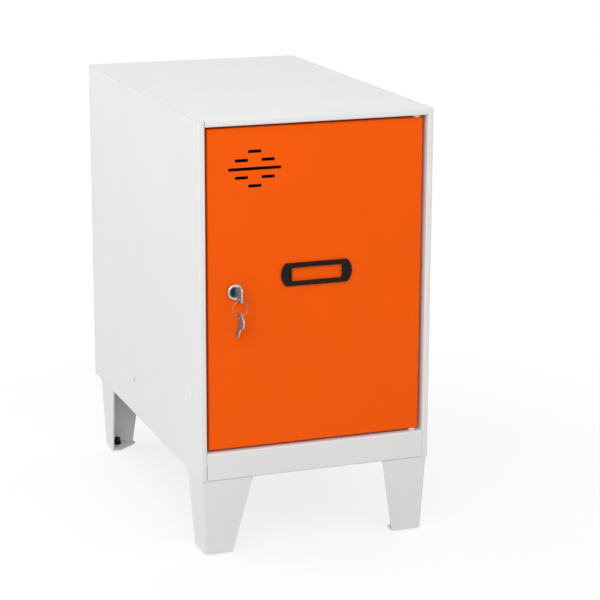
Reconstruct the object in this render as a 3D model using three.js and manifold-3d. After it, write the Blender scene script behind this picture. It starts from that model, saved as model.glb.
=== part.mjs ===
import * as THREE from 'three';
import { mergeVertices } from 'three/addons/utils/BufferGeometryUtils.js';
import Module from 'manifold-3d';

const wasm = await Module();
wasm.setup();

// Cabinet, in millimetres
const bodyWidth = 300;
const bodyDepth = 500;
const bodyHeight = 445;
const legHeight = 98;

// Sheet steel, its bends and the gap between sheets that lie together
const sheet = 1;
const bendInside = 1;
const seam = 0.1;
const overrun = 4;
const weldDistance = 0.0001;

// Frame round the door
const frontStrip = 8;
const topStrip = 8.5;
const railHeight = 35;
const railLip = 25;
const jambDepth = 26;
const stopLip = 12;
const shelfDepth = 27;
const shelfLip = 6;

// Flanges behind the frame
const flangeSetback = 2;
const sideLip = 25;
const sideTopFlange = 12;
const rearFlange = 15;
const backTopFlange = 12;
const backFlangeInset = 17;
const floorTurnUp = 22;

// Cross rail that the rear legs are screwed to
const crossRailDepth = 30;
const crossRailBehindLeg = 2;

// Studs through the sheets
const joinPlugInset = 40;
const joinPlugHeight = 100;
const joinPlugRadius = 2.4;
const joinPlugHeadRadius = 3;
const joinPlugHeadHeight = 0.6;
const joinPlugTailRadius = 2.8;
const joinPlugTailHeight = 1.6;
const rivetRadius = 1.6;
const rivetHeadRadius = 3;
const rivetHeadHeight = 0.9;
const rivetTailRadius = 2.4;
const rivetTailHeight = 1.4;
const floorRivetDepth = 295;
const floorRivetAboveRail = 14;

// Legs
const legInset = 1.3;
const legLean = 4.5;
const legSheet = 2;
const legCornerRadius = 3;
const legWideTop = 66;
const legWideFoot = 36;
const legNarrowTop = 59;
const legNarrowFoot = 39;
const legFlange = 22;
const footWideEdge = 12;
const footNarrowEdge = 14;
const rearLegSetback = 24;
const legScrewAlong = 48;
const legScrewAcross = 12;
const legScrewAside = 36;
const legScrewRadius = 2.4;
const legScrewReach = 4;
const legScrewHeadRadius = 4.5;
const legScrewHeadHeight = 3;

// Glides
const glideAt = 18.8;
const glideFlangeRadius = 9;
const glideFlangeHeight = 1.4;
const glideStemRadius = 4;
const glideStubRadius = 5;
const glideStubHeight = 10;

// Door
const sideGap = 4;
const endGap = 2.9;
const doorRecess = 5;
const doorThickness = 16;
const doorLip = 12;
const stiffenerHalf = 25;
const stiffenerCrown = 12;
const stiffenerDepth = 17;
const stiffenerMargin = 20;

// Vents
const ventFromEdge = 59.4;
const ventFromTop = 50;
const ventPitch = 10.4;
const ventOffset = 16.8;
const ventShort = 16.7;
const ventLong = 67;
const ventHeight = 3.8;
const ventCorner = 1.2;

// Hinge pins and bushes
const hingeFromEdge = 6.5;
const hingeBehindFace = 6;
const pinRadius = 2;
const pinReach = 10;
const pinHeadRadius = 3.5;
const pinHeadHeight = 1.5;
const bushPlay = 0.1;
const bushRadius = 4;
const bushReach = 9;
const bushFlangeRadius = 4.8;
const bushFlangeHeight = 2.5;

// Door buffers
const bufferRadius = 3;
const bufferHeight = 3.6;
const bufferStemRadius = 1.5;
const bufferTailRadius = 2.2;
const bufferTailHeight = 2;
const bufferFromEnd = 22;

// Label frame
const labelWidth = 91.5;
const labelHeight = 28.5;
const labelThickness = 3.2;
const labelEndBulge = 6;
const labelCorner = 4.5;
const labelRound = 1;
const labelWindowWidth = 65.5;
const labelWindowHeight = 17;
const labelWindowCorner = 2;
const labelCardMargin = 1.8;
const labelCardDepth = 0.8;
const labelPegAt = 39;
const labelPegRadius = 2;
const labelPegTailRadius = 2.6;
const labelPegTailHeight = 2;
const labelAboveMiddle = 15;

// Lock
const lockFromEdge = 33.5;
const lockBelowMiddle = 0.75;
const bezelRadius = 10;
const bezelHeight = 3.7;
const bezelRound = 1.6;
const barrelRadius = 8;
const barrelLength = 22.2;
const plugRadius = 6;
const plugPlay = 0.1;
const plugSunk = 1.1;
const plugBehindBarrel = 0.2;
const keywayWidth = 2.4;
const keywayHeight = 7.6;
const keywayDepth = 13.4;
const nutAcross = 20;
const nutThickness = 5;
const camThickness = 2;
const camWidth = 16;
const camReach = 33;
const camTipCorner = 3;
const tangWidth = 7;
const camScrewRadius = 1.9;
const camScrewLength = 8;
const camScrewHeadRadius = 4.6;
const camScrewHeadHeight = 2.2;

// Keys
const keyThickness = 2;
const bowWidth = 15;
const bowHeight = 20;
const bowCorner = 5.5;
const bowFromPlug = 9.6;
const bowHoleRadius = 2.6;
const bowHoleFromEnd = 7;
const bowHoleBelowAxis = 5;
const neckHeight = 8;
const neckClear = 0.4;
const bladeHeight = 7;
const bladeLength = 13.4;
const notchDepth = 1.6;

// Key ring and the spare key hanging from it
const wireRadius = 0.6;
const ringRadius = 9.6;
const ringDrop = 1.7;
const spareDrop = 1.5;

// Shares, angles and counts
const bendSteps = 4;
const arcSteps = 6;
const domeSteps = 3;
const roundSides = 24;
const smallSides = 12;
const ringSides = 24;
const wireSides = 8;
const backRivetShares = [0.11, 0.5, 0.89];
const neckShare = 0.8;
const notchDepthShares = [0.5, 1, 0.35, 0.8, 0.55];
const notchWidthShare = 0.12;
const notchStartShare = 0.16;
const notchFlatShare = 0.4;
const spareTilt = 34;

const halfWidth = bodyWidth / 2;
const middle = sheet / 2;
const wallInside = halfWidth - sheet;
const wallEnd = bodyDepth - sheet - seam;
const insideEnd = wallEnd - sheet - bendInside - seam;
const jambFace = halfWidth - frontStrip;
const shelfUnder = bodyHeight - topStrip;
const topUnder = bodyHeight - sheet;
const wallTop = topUnder - seam;
const behindJamb = jambDepth + flangeSetback;
const foldHeight = sheet + bendInside;
const rearLegCorner = bodyDepth - rearLegSetback;
const stackGrip = sheet + seam + sheet;

const doorHalf = jambFace - sideGap;
const doorBottom = railHeight + endGap;
const doorHeight = shelfUnder - endGap - doorBottom;
const doorMiddle = doorHeight / 2;
const hingeAcross = doorHalf - hingeFromEdge;
const lockAcross = lockFromEdge - doorHalf;
const lockUp = doorMiddle - lockBelowMiddle;
const labelUp = doorMiddle + labelAboveMiddle;

const plugFront = plugSunk - bezelHeight - seam;
const plugEnd = barrelLength + plugBehindBarrel;
const camFront = plugEnd + seam;
const camBack = camFront + camThickness;
const bowFront = plugFront - bowFromPlug - bowWidth;
const bowHoleFront = bowFront + bowHoleFromEnd;

// One closed solid from a three.js geometry
function solid(geometry) {
  const bare = new THREE.BufferGeometry();
  bare.setAttribute('position', geometry.getAttribute('position'));
  if (geometry.index) bare.setIndex(geometry.index);
  const welded = mergeVertices(bare, weldDistance);
  const corners = Array.from(welded.index.array);
  const triangles = [];
  for (let i = 0; i < corners.length; i += 3) {
    const [a, b, c] = corners.slice(i, i + 3);
    if (a !== b && b !== c && c !== a) triangles.push([a, b, c]);
  }
  const points = welded.getAttribute('position');
  const at = (i) => new THREE.Vector3().fromBufferAttribute(points, i);
  const content = triangles.reduce((sum, [a, b, c]) => sum + at(a).dot(at(b).cross(at(c))), 0);
  const facing = content < 0 ? triangles.map(([a, b, c]) => [a, c, b]) : triangles;
  return new wasm.Manifold(new wasm.Mesh({
    numProp: 3,
    vertProperties: Float32Array.from(points.array),
    triVerts: Uint32Array.from(facing.flat()),
  }));
}

// Box between two values on each axis
function block(x, y, z) {
  const ends = [x, y, z].map((pair) => [Math.min(...pair), Math.max(...pair)]);
  const geometry = new THREE.BoxGeometry(...ends.map(([low, high]) => high - low));
  geometry.translate(...ends.map(([low, high]) => (low + high) / 2));
  return solid(geometry);
}

function extruded(shape, low, high, columns) {
  const geometry = new THREE.ExtrudeGeometry(shape, { depth: high - low, bevelEnabled: false });
  geometry.translate(0, 0, low);
  const [right, up, out] = columns.map((column) => new THREE.Vector3(...column));
  geometry.applyMatrix4(new THREE.Matrix4().makeBasis(right, up, out));
  return solid(geometry);
}

// Outline across and back, raised along Z
function standing(shape, low, high) {
  return extruded(shape, low, high, [[1, 0, 0], [0, 1, 0], [0, 0, 1]]);
}

// Outline back and up, drawn out along X
function lying(shape, low, high) {
  return extruded(shape, low, high, [[0, 1, 0], [0, 0, 1], [1, 0, 0]]);
}

// Outline across and up, drawn out along Y
function facing(shape, low, high) {
  return extruded(shape, low, high, [[1, 0, 0], [0, 0, 1], [0, 1, 0]]);
}

// Round solid from radius and distance along Y
function turned(profile, sides) {
  const points = profile.map(([radius, along]) => new THREE.Vector2(radius, along));
  return solid(new THREE.LatheGeometry([...points, points[0]], sides));
}

// The same round solid standing along Z
function upright(profile, sides) {
  return turned(profile, sides).rotate([90, 0, 0]);
}

function drill(radius, from, to, sides = smallSides) {
  const start = new THREE.Vector3(...from);
  const end = new THREE.Vector3(...to);
  const along = end.clone().sub(start);
  const geometry = new THREE.CylinderGeometry(radius, radius, along.length(), sides);
  const turn = new THREE.Quaternion().setFromUnitVectors(new THREE.Vector3(0, 1, 0), along.normalize());
  geometry.applyQuaternion(turn);
  geometry.translate(...start.add(end).divideScalar(2).toArray());
  return solid(geometry);
}

function without(body, cutters) {
  return cutters.reduce((left, cutter) => left.subtract(cutter), body);
}

function joined(bodies) {
  return bodies.reduce((whole, body) => whole.add(body));
}

// Outline of a bent sheet from the line through the middle of its thickness
function foldedSheet(line, thickness = sheet) {
  const half = thickness / 2;
  const mean = bendInside + half;
  const points = line.map(([x, y]) => new THREE.Vector2(x, y));
  const heading = (a, b) => b.clone().sub(a).normalize();
  const leftOf = (way) => new THREE.Vector2(-way.y, way.x);
  const left = [];
  const right = [];
  const last = points.length - 1;
  points.forEach((point, i) => {
    const before = i > 0 ? heading(points[i - 1], point) : heading(point, points[1]);
    const after = i < last ? heading(point, points[i + 1]) : before;
    const turn = Math.atan2(before.cross(after), before.dot(after));
    if (i === 0 || i === last) {
      left.push(point.clone().addScaledVector(leftOf(before), half));
      right.push(point.clone().addScaledVector(leftOf(before), -half));
      return;
    }
    const hand = Math.sign(turn);
    const inward = leftOf(before).multiplyScalar(hand);
    const centre = point.clone().addScaledVector(before, -mean * Math.tan(Math.abs(turn) / 2));
    centre.addScaledVector(inward, mean);
    for (let step = 0; step <= bendSteps; step += 1) {
      const spoke = inward.clone().negate().rotateAround(new THREE.Vector2(), turn * step / bendSteps);
      left.push(centre.clone().addScaledVector(spoke, mean - hand * half));
      right.push(centre.clone().addScaledVector(spoke, mean + hand * half));
    }
  });
  return new THREE.Shape([...left, ...right.reverse()]);
}

// Rectangle with rounded corners
function roundedRectangle([left, right], [low, high], radius) {
  const spots = [
    [right - radius, high - radius, 0],
    [left + radius, high - radius, 1],
    [left + radius, low + radius, 2],
    [right - radius, low + radius, 3],
  ];
  const points = spots.flatMap(([x, y, quarter]) => {
    const steps = Array.from({ length: bendSteps + 1 }, (unused, step) => step / bendSteps);
    return steps.map((share) => {
      const angle = (quarter + share) * Math.PI / 2;
      return new THREE.Vector2(x + radius * Math.cos(angle), y + radius * Math.sin(angle));
    });
  });
  return new THREE.Shape(points);
}

// Box whose four front and four rear edges are bent round
function pressedBlock(x, y, z, radius) {
  const across = standing(roundedRectangle(x, y, radius), z[0], z[1]);
  const upward = lying(roundedRectangle(y, z, radius), x[0], x[1]);
  return across.intersect(upward);
}

// Profile of a head that bulges away from the sheet it sits on
function dome(radius, base, height) {
  const steps = Array.from({ length: domeSteps + 1 }, (unused, step) => step / domeSteps);
  return steps.map((share) => {
    const angle = share * Math.PI / 2;
    const across = share < 1 ? radius * Math.cos(angle) : 0;
    return [across, base + height * Math.sin(angle)];
  });
}

// Headed stud with a swollen tail, its head outward along Y and its sheet behind zero
function stud(head, shankRadius, grip, tail) {
  const tailFace = -grip - seam;
  return turned([
    [0, tailFace - tail.height],
    [tail.radius, tailFace - tail.height / 2],
    [tail.radius, tailFace],
    [shankRadius, tailFace],
    [shankRadius, seam],
    ...dome(head.radius, seam, head.height),
  ], smallSides);
}

function paint(name, colour) {
  return new THREE.MeshStandardMaterial({ name, color: colour, roughness: 0.45, metalness: 0 });
}

function bodyPaint() {
  return paint('body_paint', 0xe9e9e7);
}

function doorPaint() {
  return paint('door_paint', 0xf05a0d);
}

function blackPlastic() {
  return new THREE.MeshStandardMaterial({
    name: 'black_plastic', color: 0x17130f, roughness: 0.4, metalness: 0,
  });
}

function whiteNylon() {
  return new THREE.MeshStandardMaterial({
    name: 'white_nylon', color: 0xf4f3ee, roughness: 0.5, metalness: 0,
  });
}

function blackRubber() {
  return new THREE.MeshStandardMaterial({
    name: 'black_rubber', color: 0x1c1c1c, roughness: 0.8, metalness: 0,
  });
}

function zincSteel() {
  return new THREE.MeshStandardMaterial({
    name: 'zinc_steel', color: 0xb4b6b8, roughness: 0.38, metalness: 1,
  });
}

function chromeSteel() {
  return new THREE.MeshStandardMaterial({
    name: 'chrome', color: 0xcfd1d3, roughness: 0.16, metalness: 1,
  });
}

function piece(name, body, material, position = [0, 0, 0], rotation = [0, 0, 0]) {
  const made = body.getMesh();
  const geometry = new THREE.BufferGeometry();
  geometry.setAttribute('position', new THREE.BufferAttribute(made.vertProperties, 3));
  geometry.setIndex(new THREE.BufferAttribute(made.triVerts, 1));
  geometry.computeVertexNormals();
  const mesh = new THREE.Mesh(geometry, material);
  mesh.name = name;
  mesh.position.set(...position);
  mesh.rotation.set(...rotation);
  return mesh;
}

function group(name, position, members) {
  const holder = new THREE.Group();
  holder.name = name;
  holder.position.set(...position);
  holder.add(...members);
  return holder;
}

// Where the four legs stand: outer corner of each and its quarter turns
const legPlaces = [
  { name: 'front_left', x: -halfWidth, y: 0, quarters: 0 },
  { name: 'front_right', x: halfWidth, y: 0, quarters: 1 },
  { name: 'rear_right', x: halfWidth, y: rearLegCorner, quarters: 2 },
  { name: 'rear_left', x: -halfWidth, y: rearLegCorner, quarters: 3 },
];

const legScrewSpots = [
  [legScrewAlong, legScrewAcross],
  [legScrewAcross, legScrewAside],
];

function legScrewCuts() {
  return legPlaces.flatMap(({ x, y, quarters }) => legScrewSpots.map(([along, across]) => {
    const spot = new THREE.Vector2(along, across);
    spot.rotateAround(new THREE.Vector2(), quarters * Math.PI / 2);
    const low = [x + spot.x, y + spot.y, -overrun];
    const high = [x + spot.x, y + spot.y, legScrewReach + seam];
    return drill(legScrewRadius + seam, low, high);
  }));
}

const joinPlugDepths = [joinPlugInset, bodyDepth - joinPlugInset];
const floorRivetHeight = railHeight + floorRivetAboveRail;
const backRivetHeights = backRivetShares.map((share) => share * wallTop);
const backRivetAcross = halfWidth - rearFlange / 2;
const bufferAcross = stopLip / 2 - jambFace;
const bufferHeights = [railHeight + bufferFromEnd, shelfUnder - bufferFromEnd];

function sideCuts(hand) {
  const inner = hand * (wallInside - bendInside - overrun);
  const outer = hand * (halfWidth + overrun);
  const through = (radius, y, z) => drill(radius, [inner, y, z], [outer, y, z]);
  const plugs = joinPlugDepths.map((y) => through(joinPlugRadius + seam, y, joinPlugHeight));
  const rivet = through(rivetRadius + seam, floorRivetDepth, floorRivetHeight);
  return [...plugs, rivet];
}

function backCuts() {
  return [-backRivetAcross, backRivetAcross].flatMap((x) => backRivetHeights.map((z) => {
    const front = [x, wallEnd - sheet - overrun, z];
    const rear = [x, bodyDepth + overrun, z];
    return drill(rivetRadius + seam, front, rear);
  }));
}

function bufferCuts() {
  return bufferHeights.map((z) => {
    const front = [bufferAcross, jambDepth - sheet - overrun, z];
    const rear = [bufferAcross, jambDepth + overrun, z];
    return drill(bufferStemRadius + seam, front, rear);
  });
}

function pinCut(low, high) {
  const depth = doorRecess + hingeBehindFace;
  return drill(pinRadius + seam, [hingeAcross, depth, low], [hingeAcross, depth, high]);
}

// One side: strip, jamb and door stop in front, wall, flanges above, below and behind
function sidePanel(hand) {
  const across = (depth) => hand * (halfWidth - depth);
  const wall = facing(foldedSheet([
    [across(sideLip), middle],
    [across(middle), middle],
    [across(middle), wallTop - middle],
    [across(sideTopFlange), wallTop - middle],
  ]), behindJamb, insideEnd);
  const front = standing(foldedSheet([
    [across(frontStrip + stopLip), jambDepth - middle],
    [across(frontStrip - middle), jambDepth - middle],
    [across(frontStrip - middle), middle],
    [across(middle), middle],
    [across(middle), behindJamb + sheet],
  ]), 0, wallTop);
  const rear = standing(foldedSheet([
    [across(middle), insideEnd - sheet],
    [across(middle), wallEnd - middle],
    [across(rearFlange), wallEnd - middle],
  ]), 0, wallTop);
  const pastJamb = [across(frontStrip), across(frontStrip + stopLip + overrun)];
  const atStop = [jambDepth - foldHeight - seam, jambDepth + seam];
  const underFloor = block(pastJamb, atStop, [-overrun, railHeight + seam]);
  const overShelf = block(pastJamb, atStop, [shelfUnder - seam, bodyHeight]);
  return without(joined([wall, front, rear]), [
    underFloor, overShelf, ...sideCuts(hand), ...backCuts(), ...legScrewCuts(),
  ]);
}

function leftPanel() {
  return without(sidePanel(-1), bufferCuts());
}

// Top sheet, and between the side strips the strip above the door and the return behind it
function topPanel() {
  const folded = lying(foldedSheet([
    [shelfDepth - middle, shelfUnder + shelfLip],
    [shelfDepth - middle, shelfUnder + middle],
    [middle, shelfUnder + middle],
    [middle, bodyHeight - middle],
    [bodyDepth, bodyHeight - middle],
  ]), -halfWidth, halfWidth);
  const notches = [-1, 1].map((hand) => block(
    [hand * (jambFace - seam), hand * (halfWidth + overrun)],
    [-overrun, shelfDepth + overrun],
    [shelfUnder - overrun, topUnder],
  ));
  return without(folded, [...notches, pinCut(shelfUnder - overrun, shelfUnder + overrun)]);
}

// Floor sheet, its turned up sides and the rail below the door
function floorPanel() {
  const front = lying(foldedSheet([
    [railLip, middle],
    [middle, middle],
    [middle, railHeight - middle],
    [behindJamb + overrun, railHeight - middle],
  ]), seam - jambFace, jambFace - seam);
  const edge = wallInside - seam - middle;
  const tray = facing(foldedSheet([
    [-edge, railHeight + floorTurnUp],
    [-edge, railHeight - middle],
    [edge, railHeight - middle],
    [edge, railHeight + floorTurnUp],
  ]), behindJamb, insideEnd);
  return without(joined([front, tray]), [
    ...sideCuts(-1), ...sideCuts(1), ...legScrewCuts(),
    pinCut(railHeight - overrun, railHeight + overrun),
  ]);
}

// Back sheet with a short flange under the top
function backPanel() {
  const flangeHalf = halfWidth - backFlangeInset;
  const plate = block([-halfWidth, halfWidth], [bodyDepth - sheet, bodyDepth], [0, wallTop]);
  const room = block(
    [-flangeHalf, flangeHalf],
    [bodyDepth - foldHeight, bodyDepth + overrun],
    [wallTop - foldHeight, wallTop + overrun],
  );
  const fold = lying(foldedSheet([
    [bodyDepth - backTopFlange, wallTop - middle],
    [bodyDepth - middle, wallTop - middle],
    [bodyDepth - middle, wallTop - foldHeight - overrun],
  ]), -flangeHalf, flangeHalf);
  return without(plate.subtract(room).add(fold), backCuts());
}

// Angle under the floor, lying on the side lips
function rearCrossRail() {
  const base = sheet + seam;
  const web = rearLegCorner + crossRailBehindLeg;
  const half = wallInside - bendInside - seam;
  const angle = lying(foldedSheet([
    [web - crossRailDepth, base + middle],
    [web - middle, base + middle],
    [web - middle, railHeight - sheet - seam],
  ]), -half, half);
  return without(angle, legScrewCuts());
}

function joiningPlug() {
  const head = { radius: joinPlugHeadRadius, height: joinPlugHeadHeight };
  const tail = { radius: joinPlugTailRadius, height: joinPlugTailHeight };
  return stud(head, joinPlugRadius, sheet, tail);
}

function rivet() {
  const head = { radius: rivetHeadRadius, height: rivetHeadHeight };
  const tail = { radius: rivetTailRadius, height: rivetTailHeight };
  return stud(head, rivetRadius, stackGrip, tail);
}

function doorBuffer() {
  const head = { radius: bufferRadius, height: bufferHeight };
  const tail = { radius: bufferTailRadius, height: bufferTailHeight };
  return stud(head, bufferStemRadius, sheet, tail);
}

// Angle outline with a rounded outer corner, its arms along X and Y
function angleOutline(corner, wide, narrow, arm) {
  const round = Array.from({ length: bendSteps + 1 }, (unused, step) => {
    const angle = Math.PI + step / bendSteps * Math.PI / 2;
    const centre = corner + legCornerRadius;
    return [centre + legCornerRadius * Math.cos(angle), centre + legCornerRadius * Math.sin(angle)];
  });
  return [
    ...round,
    [corner + wide, corner],
    [corner + wide, corner + arm],
    [corner + arm, corner + arm],
    [corner + arm, corner + narrow],
    [corner, corner + narrow],
  ].map(([x, y]) => new THREE.Vector2(x, y));
}

// Solid between two outlines that have matching corners
function lofted(lower, upper, low, high) {
  const count = lower.length;
  const ring = (outline, z) => outline.flatMap((point) => [point.x, point.y, z]);
  const caps = THREE.ShapeUtils.triangulateShape(lower, []);
  const bottom = caps.map(([a, b, c]) => [a, c, b]);
  const top = caps.map((face) => face.map((i) => i + count));
  const walls = lower.flatMap((unused, i) => {
    const next = (i + 1) % count;
    return [[i, next, next + count], [i, next + count, i + count]];
  });
  const geometry = new THREE.BufferGeometry();
  const positions = [...ring(lower, low), ...ring(upper, high)];
  geometry.setAttribute('position', new THREE.Float32BufferAttribute(positions, 3));
  geometry.setIndex([...bottom, ...top, ...walls].flat());
  return solid(geometry);
}

// Tapered corner leg with a flange to screw up through and a plate for the glide
function leg() {
  const base = glideFlangeHeight + seam;
  const crown = legHeight - seam;
  const footCorner = legInset + legLean;
  const skin = lofted(
    angleOutline(footCorner, legWideFoot, legNarrowFoot, legSheet),
    angleOutline(legInset, legWideTop, legNarrowTop, legSheet),
    base,
    crown,
  );
  const flange = standing(
    new THREE.Shape(angleOutline(legInset, legWideTop, legNarrowTop, legFlange)),
    crown - legSheet,
    crown,
  );
  const rounding = angleOutline(footCorner, legWideFoot, legNarrowFoot, legSheet).slice(0, bendSteps + 1);
  const plate = standing(new THREE.Shape([
    ...rounding,
    new THREE.Vector2(footCorner + legWideFoot, footCorner),
    new THREE.Vector2(footCorner + legWideFoot, footCorner + footWideEdge),
    new THREE.Vector2(footCorner + footNarrowEdge, footCorner + legNarrowFoot),
    new THREE.Vector2(footCorner, footCorner + legNarrowFoot),
  ]), base, base + legSheet);
  const screwHoles = legScrewSpots.map(([x, y]) => drill(
    legScrewRadius + seam,
    [x, y, crown - legSheet - overrun],
    [x, y, crown + overrun],
  ));
  const glideHole = drill(
    glideStemRadius + seam,
    [glideAt, glideAt, base - overrun],
    [glideAt, glideAt, base + legSheet + overrun],
    roundSides,
  );
  return without(joined([skin, flange, plate]), [...screwHoles, glideHole]);
}

function glide() {
  const plateTop = glideFlangeHeight + seam + legSheet + seam;
  return upright([
    [0, 0],
    [glideFlangeRadius - glideFlangeHeight / 2, 0],
    [glideFlangeRadius, glideFlangeHeight / 2],
    [glideFlangeRadius, glideFlangeHeight],
    [glideStemRadius, glideFlangeHeight],
    [glideStemRadius, plateTop],
    [glideStubRadius, plateTop],
    [glideStubRadius, plateTop + glideStubHeight / 2],
    [glideStemRadius, plateTop + glideStubHeight],
    [0, plateTop + glideStubHeight],
  ], roundSides);
}

function legScrew() {
  const headFace = legHeight - seam - legSheet - seam;
  return upright([
    [0, headFace - legScrewHeadHeight],
    [legScrewHeadRadius / 2, headFace - legScrewHeadHeight],
    [legScrewHeadRadius, headFace - legScrewHeadHeight / 2],
    [legScrewHeadRadius, headFace],
    [legScrewRadius, headFace],
    [legScrewRadius, legHeight + legScrewReach - legScrewRadius / 2],
    [legScrewRadius / 2, legHeight + legScrewReach],
    [0, legHeight + legScrewReach],
  ], smallSides);
}

function legGroup({ name, x, y, quarters }) {
  const screws = legScrewSpots.map(([along, across], i) => piece(
    `leg_screw_${name}_${i + 1}`,
    legScrew(),
    zincSteel(),
    [along, across, 0],
  ));
  const holder = group(`leg_group_${name}`, [x, y, -legHeight], [
    piece(`leg_${name}`, leg(), bodyPaint()),
    piece(`glide_${name}`, glide(), blackPlastic(), [glideAt, glideAt, 0]),
    ...screws,
  ]);
  holder.rotation.z = quarters * Math.PI / 2;
  return holder;
}

// Pin that stands on its head
function hingePin() {
  const length = sheet + endGap + pinReach + seam;
  return upright([
    [0, -pinHeadHeight],
    [pinHeadRadius, -pinHeadHeight],
    [pinHeadRadius, 0],
    [pinRadius, 0],
    [pinRadius, length - pinRadius / 2],
    [pinRadius / 2, length],
    [0, length],
  ], roundSides);
}

// Bush whose flange hangs below the end of the door and whose sleeve runs up into it
function hingeBush() {
  const bore = pinRadius + bushPlay;
  return upright([
    [bore, -bushFlangeHeight - seam],
    [bushFlangeRadius, -bushFlangeHeight - seam],
    [bushFlangeRadius, -seam],
    [bushRadius, -seam],
    [bushRadius, bushReach],
    [bore, bushReach],
  ], roundSides);
}

function ventRows() {
  const pair = [-ventOffset, ventOffset].map((x) => ({ x, length: ventShort }));
  const single = [{ x: 0, length: ventShort }];
  return [single, pair, [{ x: 0, length: ventLong }], pair, single];
}

function ventCuts() {
  const centre = ventFromEdge - doorHalf;
  const rows = ventRows();
  return rows.flatMap((row, i) => row.map(({ x, length }) => {
    const z = doorHeight - ventFromTop + ((rows.length - 1) / 2 - i) * ventPitch;
    const across = [centre + x - length / 2, centre + x + length / 2];
    const up = [z - ventHeight / 2, z + ventHeight / 2];
    return facing(roundedRectangle(across, up, ventCorner), -overrun, sheet + overrun);
  }));
}

// Pressed pan: face in front, edges turned back, narrow lips turned in
function doorPanel() {
  const outer = pressedBlock(
    [-doorHalf, doorHalf],
    [0, doorThickness],
    [0, doorHeight],
    foldHeight,
  );
  const inner = pressedBlock(
    [sheet - doorHalf, doorHalf - sheet],
    [sheet, doorThickness - sheet],
    [sheet, doorHeight - sheet],
    bendInside,
  );
  const mouth = block(
    [doorLip - doorHalf, doorHalf - doorLip],
    [doorThickness - foldHeight, doorThickness + overrun],
    [doorLip, doorHeight - doorLip],
  );
  const bushHole = drill(
    bushRadius + seam,
    [hingeAcross, hingeBehindFace, -overrun],
    [hingeAcross, hingeBehindFace, doorHeight + overrun],
    roundSides,
  );
  const lockHole = drill(
    barrelRadius + seam,
    [lockAcross, -overrun, lockUp],
    [lockAcross, sheet + overrun, lockUp],
    roundSides,
  );
  const pegHoles = [-labelPegAt, labelPegAt].map((x) => drill(
    labelPegRadius + seam,
    [x, -overrun, labelUp],
    [x, sheet + overrun, labelUp],
  ));
  return without(outer, [inner, mouth, bushHole, lockHole, ...pegHoles, ...ventCuts()]);
}

// Hat section behind the door face
function doorStiffener() {
  const flat = sheet + seam + middle;
  const crown = stiffenerDepth - middle;
  return standing(foldedSheet([
    [-stiffenerHalf, flat],
    [-stiffenerCrown, flat],
    [-stiffenerCrown, crown],
    [stiffenerCrown, crown],
    [stiffenerCrown, flat],
    [stiffenerHalf, flat],
  ]), stiffenerMargin, doorHeight - stiffenerMargin);
}

// Outline of the label frame, its two ends bulging between rounded corners
function labelOutline() {
  const rise = labelHeight / 2;
  const radius = (rise * rise + labelEndBulge * labelEndBulge) / (2 * labelEndBulge);
  const centre = labelWidth / 2 - radius;
  const cornerRise = rise - labelCorner;
  const turn = Math.asin(cornerRise / (radius - labelCorner));
  const cornerAt = centre + (radius - labelCorner) * Math.cos(turn);
  const swept = (x, y, bend, from, to, steps) => Array.from({ length: steps + 1 }, (unused, step) => {
    const angle = from + step / steps * (to - from);
    return new THREE.Vector2(x + bend * Math.cos(angle), y + bend * Math.sin(angle));
  });
  const end = [
    ...swept(cornerAt, -cornerRise, labelCorner, -Math.PI / 2, -turn, bendSteps),
    ...swept(centre, 0, radius, -turn, turn, arcSteps * 2).slice(1, -1),
    ...swept(cornerAt, cornerRise, labelCorner, turn, Math.PI / 2, bendSteps),
  ];
  return [...end, ...end.map((point) => point.clone().negate())];
}

// Frame with a rounded front, a room for the card behind its window and two pegs
function labelFrame() {
  const windowHalf = labelWindowWidth / 2;
  const windowRise = labelWindowHeight / 2;
  const shape = new THREE.Shape(labelOutline());
  const window = roundedRectangle([-windowHalf, windowHalf], [-windowRise, windowRise], labelWindowCorner);
  shape.holes.push(new THREE.Path(window.getPoints()));
  const rounded = new THREE.ExtrudeGeometry(shape, {
    depth: labelThickness,
    bevelEnabled: true,
    bevelThickness: labelRound,
    bevelSize: labelRound,
    bevelOffset: -labelRound,
    bevelSegments: domeSteps,
  });
  rounded.rotateX(Math.PI / 2);
  rounded.translate(0, labelRound, 0);
  const reach = labelWidth + overrun;
  const behind = block([-reach, reach], [-seam, reach], [-reach, reach]);
  const card = block(
    [-windowHalf - labelCardMargin, windowHalf + labelCardMargin],
    [-seam - labelCardDepth, overrun],
    [-windowRise - labelCardMargin, windowRise + labelCardMargin],
  );
  const pegs = [-labelPegAt, labelPegAt].map((x) => turned([
    [0, -seam - labelCardDepth],
    [labelPegRadius, -seam - labelCardDepth],
    [labelPegRadius, sheet + seam],
    [labelPegTailRadius, sheet + seam],
    [labelPegRadius, sheet + seam + labelPegTailHeight],
    [0, sheet + seam + labelPegTailHeight],
  ], smallSides).translate([x, 0, 0]));
  return joined([without(solid(rounded), [behind, card]), ...pegs]);
}

// Barrel through the door with its bezel in front
function lockHousing() {
  const bore = plugRadius + plugPlay;
  const face = -seam - bezelHeight;
  const rim = Array.from({ length: domeSteps + 1 }, (unused, step) => {
    const angle = step / domeSteps * Math.PI / 2;
    return [
      bezelRadius - bezelRound + bezelRound * Math.cos(angle),
      face + bezelRound - bezelRound * Math.sin(angle),
    ];
  });
  return turned([
    [bore, barrelLength],
    [barrelRadius, barrelLength],
    [barrelRadius, -seam],
    [bezelRadius, -seam],
    ...rim,
    [bore + plugSunk / 2, face],
    [bore, face + plugSunk / 2],
  ], roundSides);
}

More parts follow.
